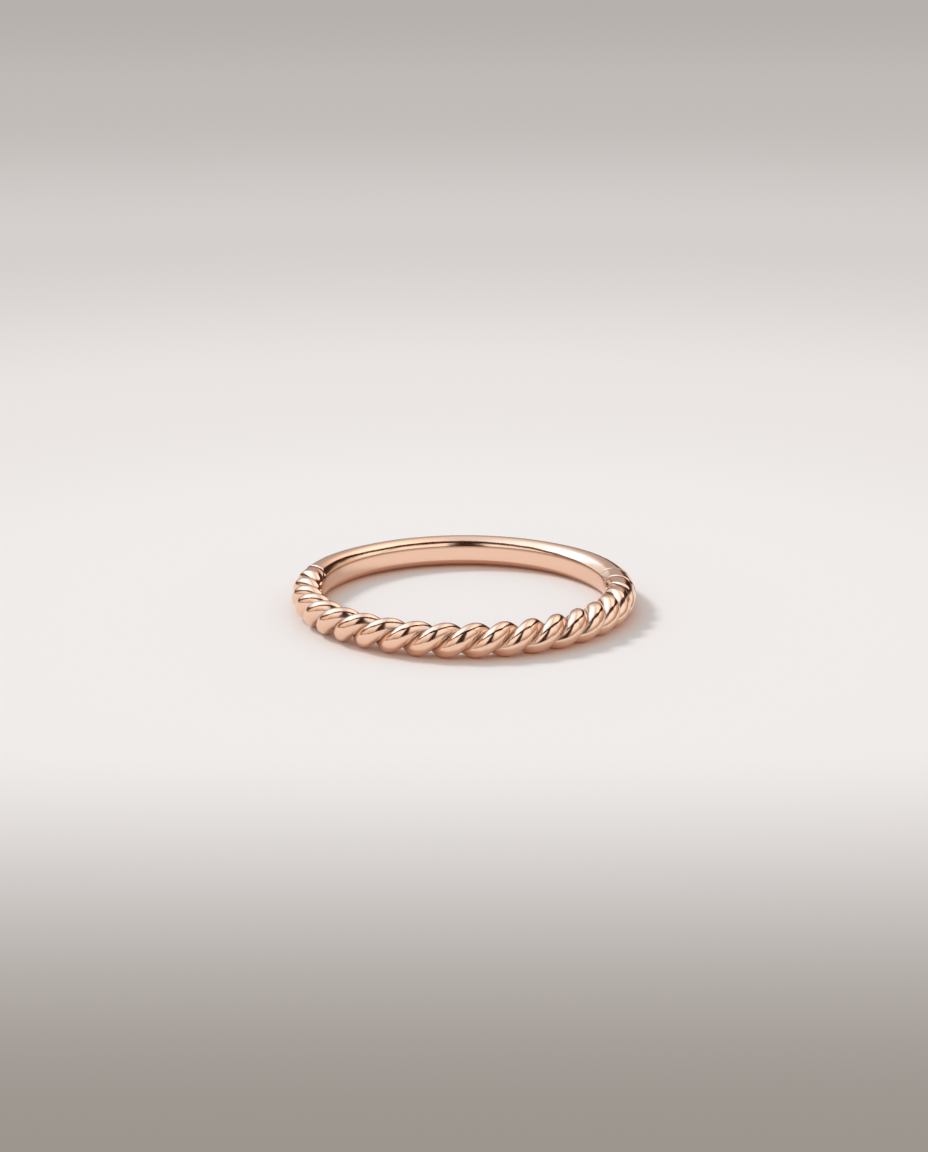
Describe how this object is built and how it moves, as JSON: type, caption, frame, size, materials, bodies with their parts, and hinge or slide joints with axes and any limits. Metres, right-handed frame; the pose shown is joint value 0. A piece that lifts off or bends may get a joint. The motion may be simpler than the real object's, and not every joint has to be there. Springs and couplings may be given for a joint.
{
  "type": "rope twist ring",
  "caption": "Finger ring whose front is a rope of twisted round strands and whose back is a plain round band, with a smooth finger hole.",
  "frame": {"origin": "centre of the finger hole, halfway between the ring's two sides", "axes": "+Z along the axis of the finger hole, which is up as the ring lies on its side; -Y towards the middle of the rope; +X to the right seen from the rope's side"},
  "size_m": [0.0209, 0.0209, 0.002],
  "materials": {
    "rose_gold": "polished rose gold"
  },
  "bodies": {
    "root": {"rope_ring": "rose_gold"}
  },
  "joints": []
}
